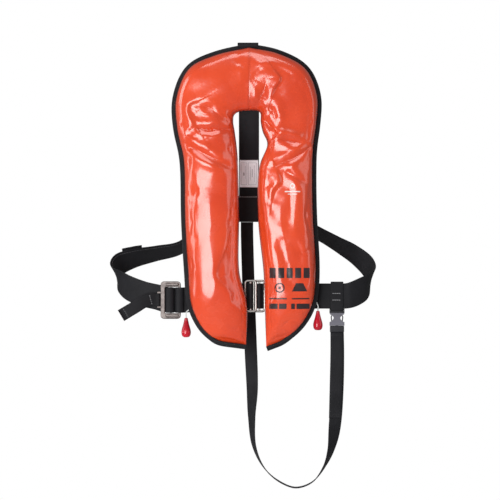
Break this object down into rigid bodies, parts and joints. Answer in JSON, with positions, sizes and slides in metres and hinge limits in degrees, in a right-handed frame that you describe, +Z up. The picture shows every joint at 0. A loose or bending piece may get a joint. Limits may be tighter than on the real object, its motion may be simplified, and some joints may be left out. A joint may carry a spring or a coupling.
{
  "type": "inflatable life jacket",
  "caption": "Harness-type inflatable life jacket: padded horseshoe cover, back strap, waist belt closed on steel rings, adjuster buckle, crotch strap with side-release buckle, red toggles",
  "frame": {"origin": "middle of the collar's inner top edge, where the jacket hangs on the neck", "axes": "+X to the right as seen from the front, +Z up, the padded front faces -Y and the wearer is at +Y"},
  "size_m": [0.5295, 0.1748, 0.8815],
  "materials": {
    "cover": "glossy wipe-clean coated fabric, orange-red",
    "lining": "coated nylon, matt orange-red",
    "binding": "black woven edge binding",
    "webbing": "black polyester webbing",
    "bladder": "yellow coated nylon",
    "tape": "black hook and loop tape",
    "inflator": "black moulded plastic",
    "cylinder": "zinc plated steel",
    "brass": "plain brass",
    "toggle": "red gloss plastic",
    "cord": "thin white cord",
    "whistle": "orange moulded plastic",
    "lens": "clear moulded lens",
    "steel": "polished stainless steel",
    "buckle": "warm grey satin metal",
    "label": "off-white sewn label",
    "plastic": "dark grey satin plastic"
  },
  "bodies": {
    "jacket": {"cover_front_left": "cover", "cover_front_right": "cover", "cover_back": "lining", "edge_binding": "binding", "collar_patch": "webbing", "bladder_main": "bladder", "bladder_backup": "bladder", "closure_tape_left": "tape", "inflator_body_left": "inflator", "gas_cylinder_left": "cylinder", "cord_grommet_left": "inflator", "closure_tape_right": "tape", "inflator_body_right": "inflator", "gas_cylinder_right": "cylinder", "cord_grommet_right": "inflator", "oral_tube_left": "inflator", "oral_cap_left": "toggle", "oral_tube_right": "inflator", "oral_cap_right": "toggle", "whistle": "whistle", "light_case": "inflator", "light_lens": "lens", "lifting_loop": "webbing", "adjuster_frame": "buckle", "adjuster_bar": "buckle", "tab_pin": "steel", "belt_front_left": "webbing", "waist_belt_left": "webbing", "waist_belt_right": "webbing", "belt_keeper": "webbing", "belt_loop_left": "webbing", "belt_loop_right": "webbing", "back_strap": "webbing", "id_label": "label", "crotch_hanger": "webbing", "buckle_socket": "plastic", "buckle_plug": "plastic", "crotch_strap": "webbing", "crotch_tail": "webbing"},
    "pull_left": {"pull_toggle_left": "toggle", "pull_cord_left": "cord"},
    "pull_right": {"pull_toggle_right": "toggle", "pull_cord_right": "cord"},
    "lever_left": {"inflator_lever_left": "toggle"},
    "lever_right": {"inflator_lever_right": "toggle"},
    "pin_left": {"piercing_pin_left": "brass"},
    "pin_right": {"piercing_pin_right": "brass"},
    "front_ring": {"ring_left": "steel"},
    "rear_ring": {"ring_right": "steel"},
    "pull_tab": {"adjuster_tab": "webbing"},
    "prong_left": {"buckle_prong_left": "plastic"},
    "prong_right": {"buckle_prong_right": "plastic"}
  },
  "joints": [
    {"name": "pull_left_slide", "type": "slide", "parent": "jacket", "child": "pull_left", "axis": [0, 0, -1], "range_m": [0, 0.018], "deforming": ["pull_cord_left"]},
    {"name": "pull_right_slide", "type": "slide", "parent": "jacket", "child": "pull_right", "axis": [0, 0, -1], "range_m": [0, 0.018], "deforming": ["pull_cord_right"]},
    {"name": "lever_left_turn", "type": "hinge", "parent": "jacket", "child": "lever_left", "pos_m": [-0.08446, -0.015, -0.365], "axis": [0, -1, 0], "range_deg": [0, 70]},
    {"name": "lever_right_turn", "type": "hinge", "parent": "jacket", "child": "lever_right", "pos_m": [0.09552, -0.015, -0.335], "axis": [0, 1, 0], "range_deg": [0, 70]},
    {"name": "pin_left_slide", "type": "slide", "parent": "jacket", "child": "pin_left", "axis": [0, 0, 1], "range_m": [0, 0.003]},
    {"name": "pin_right_slide", "type": "slide", "parent": "jacket", "child": "pin_right", "axis": [0, 0, 1], "range_m": [0, 0.003]},
    {"name": "front_ring_swing", "type": "hinge", "parent": "jacket", "child": "front_ring", "pos_m": [0.0032, 0.0095, -0.366], "axis": [0, 0, -1], "range_deg": [0, 25]},
    {"name": "rear_ring_swing", "type": "hinge", "parent": "jacket", "child": "rear_ring", "pos_m": [0.0202, 0.0145, -0.366], "axis": [0, 0, -1], "range_deg": [0, 20]},
    {"name": "pull_tab_swing", "type": "hinge", "parent": "jacket", "child": "pull_tab", "pos_m": [-0.1786, 0.0182, -0.3735], "axis": [0, 0, 1], "range_deg": [0, 60]},
    {"name": "prong_left_squeeze", "type": "hinge", "parent": "jacket", "child": "prong_left", "pos_m": [0.1655, 0.022, -0.4244], "axis": [0, 1, 0], "range_deg": [0, 7], "stiffness_Nm_per_rad": 0.05},
    {"name": "prong_right_squeeze", "type": "hinge", "parent": "jacket", "child": "prong_right", "pos_m": [0.1825, 0.022, -0.4244], "axis": [0, -1, 0], "range_deg": [0, 7], "stiffness_Nm_per_rad": 0.05}
  ],
  "couplings": [
    {"joint": "lever_left_turn", "follows": "pull_left_slide", "rad_per_m": 67.806},
    {"joint": "lever_right_turn", "follows": "pull_right_slide", "rad_per_m": 67.806},
    {"joint": "pin_left_slide", "follows": "pull_left_slide", "ratio": 0.1665},
    {"joint": "pin_right_slide", "follows": "pull_right_slide", "ratio": 0.1665}
  ]
}
